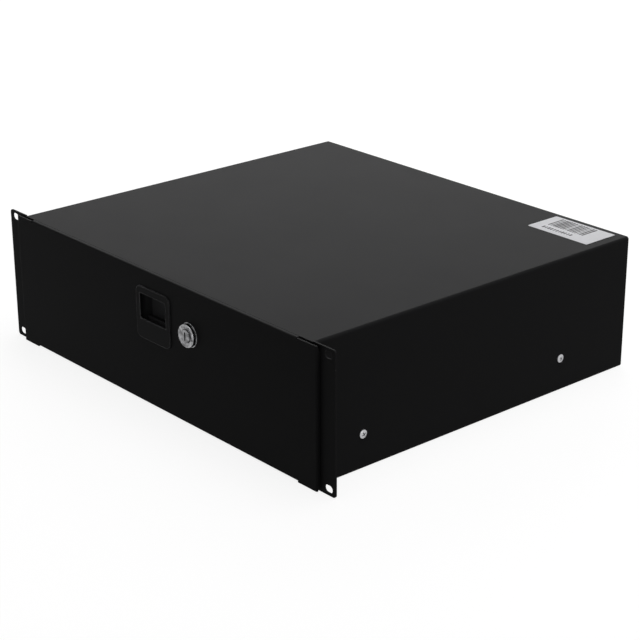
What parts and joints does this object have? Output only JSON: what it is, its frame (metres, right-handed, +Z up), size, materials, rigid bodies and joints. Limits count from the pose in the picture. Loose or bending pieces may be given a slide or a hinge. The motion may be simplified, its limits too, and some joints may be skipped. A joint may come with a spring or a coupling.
{
  "type": "sliding rack drawer",
  "caption": "Black steel rack-mount drawer: folded case with slotted ears, full-extension ball-slide drawer, recessed slide latch and cam lock.",
  "frame": {"origin": "centre of the four ear slots, on the rear face of the ears that seats on the rack rails", "axes": "+X across the rack to the right seen from the front, +Y into the rack, +Z up; the drawer opens along -Y"},
  "size_m": [0.4826, 0.4025, 0.1324],
  "materials": {
    "black_powder_coat": "matt black powder coat on sheet steel",
    "zinc_steel": "bright zinc plate",
    "bearing_steel": "polished",
    "chrome_plate": "polished nickel-chrome plate",
    "black_plastic": "fine moulded satin",
    "spring_steel": "plain wire",
    "white_paper": "matt self-adhesive paper"
  },
  "bodies": {
    "case": {"case_shell": "black_powder_coat", "rear_panel": "black_powder_coat", "rear_panel_screws": "zinc_steel", "front_cross_tie": "black_powder_coat", "top_label": "white_paper", "rail_screws": "zinc_steel", "outer_rail_left": "zinc_steel", "outer_rail_right": "zinc_steel"},
    "drawer": {"drawer_tray": "black_powder_coat", "tray_front_wall": "black_powder_coat", "tray_rear_wall": "black_powder_coat", "drawer_front": "black_powder_coat", "front_panel_nuts": "zinc_steel", "tray_screws": "zinc_steel", "inner_rail_left": "zinc_steel", "inner_rail_right": "zinc_steel", "latch_housing": "black_plastic", "latch_cover": "zinc_steel", "latch_cover_screws": "zinc_steel", "latch_spring": "spring_steel", "lock_cylinder": "chrome_plate", "lock_nut": "zinc_steel"},
    "latch": {"latch_slider": "black_plastic", "latch_bolt": "zinc_steel", "latch_bolt_screw": "zinc_steel"},
    "lock_core": {"lock_plug": "chrome_plate", "lock_cam": "zinc_steel", "lock_cam_screw": "zinc_steel"},
    "middle_left": {"middle_rail_left": "zinc_steel"},
    "outer_cage_left": {"outer_cage_left": "zinc_steel", "outer_balls_left": "bearing_steel"},
    "inner_cage_left": {"inner_cage_left": "zinc_steel", "inner_balls_left": "bearing_steel"},
    "middle_right": {"middle_rail_right": "zinc_steel"},
    "outer_cage_right": {"outer_cage_right": "zinc_steel", "outer_balls_right": "bearing_steel"},
    "inner_cage_right": {"inner_cage_right": "zinc_steel", "inner_balls_right": "bearing_steel"}
  },
  "joints": [
    {"name": "drawer_slide", "type": "slide", "parent": "case", "child": "drawer", "axis": [0, -1, 0], "range_m": [0, 0.345]},
    {"name": "middle_left_slide", "type": "slide", "parent": "case", "child": "middle_left", "axis": [0, -1, 0], "range_m": [0, 0.1725]},
    {"name": "outer_cage_left_slide", "type": "slide", "parent": "case", "child": "outer_cage_left", "axis": [0, -1, 0], "range_m": [0, 0.08625]},
    {"name": "inner_cage_left_slide", "type": "slide", "parent": "case", "child": "inner_cage_left", "axis": [0, -1, 0], "range_m": [0, 0.25875]},
    {"name": "middle_right_slide", "type": "slide", "parent": "case", "child": "middle_right", "axis": [0, -1, 0], "range_m": [0, 0.1725]},
    {"name": "outer_cage_right_slide", "type": "slide", "parent": "case", "child": "outer_cage_right", "axis": [0, -1, 0], "range_m": [0, 0.08625]},
    {"name": "inner_cage_right_slide", "type": "slide", "parent": "case", "child": "inner_cage_right", "axis": [0, -1, 0], "range_m": [0, 0.25875]},
    {"name": "latch_press", "type": "slide", "parent": "drawer", "child": "latch", "axis": [0, 0, -1], "range_m": [0, 0.004], "stiffness_N_per_m": 800, "springref_m": -0.008, "deforming": ["latch_spring"]},
    {"name": "lock_turn", "type": "hinge", "parent": "drawer", "child": "lock_core", "pos_m": [0.0524, 0, 0.02335], "axis": [0, -1, 0], "range_deg": [0, 90]}
  ],
  "couplings": [
    {"joint": "middle_left_slide", "follows": "drawer_slide", "ratio": 0.5},
    {"joint": "outer_cage_left_slide", "follows": "drawer_slide", "ratio": 0.25},
    {"joint": "inner_cage_left_slide", "follows": "drawer_slide", "ratio": 0.75},
    {"joint": "middle_right_slide", "follows": "drawer_slide", "ratio": 0.5},
    {"joint": "outer_cage_right_slide", "follows": "drawer_slide", "ratio": 0.25},
    {"joint": "inner_cage_right_slide", "follows": "drawer_slide", "ratio": 0.75}
  ]
}
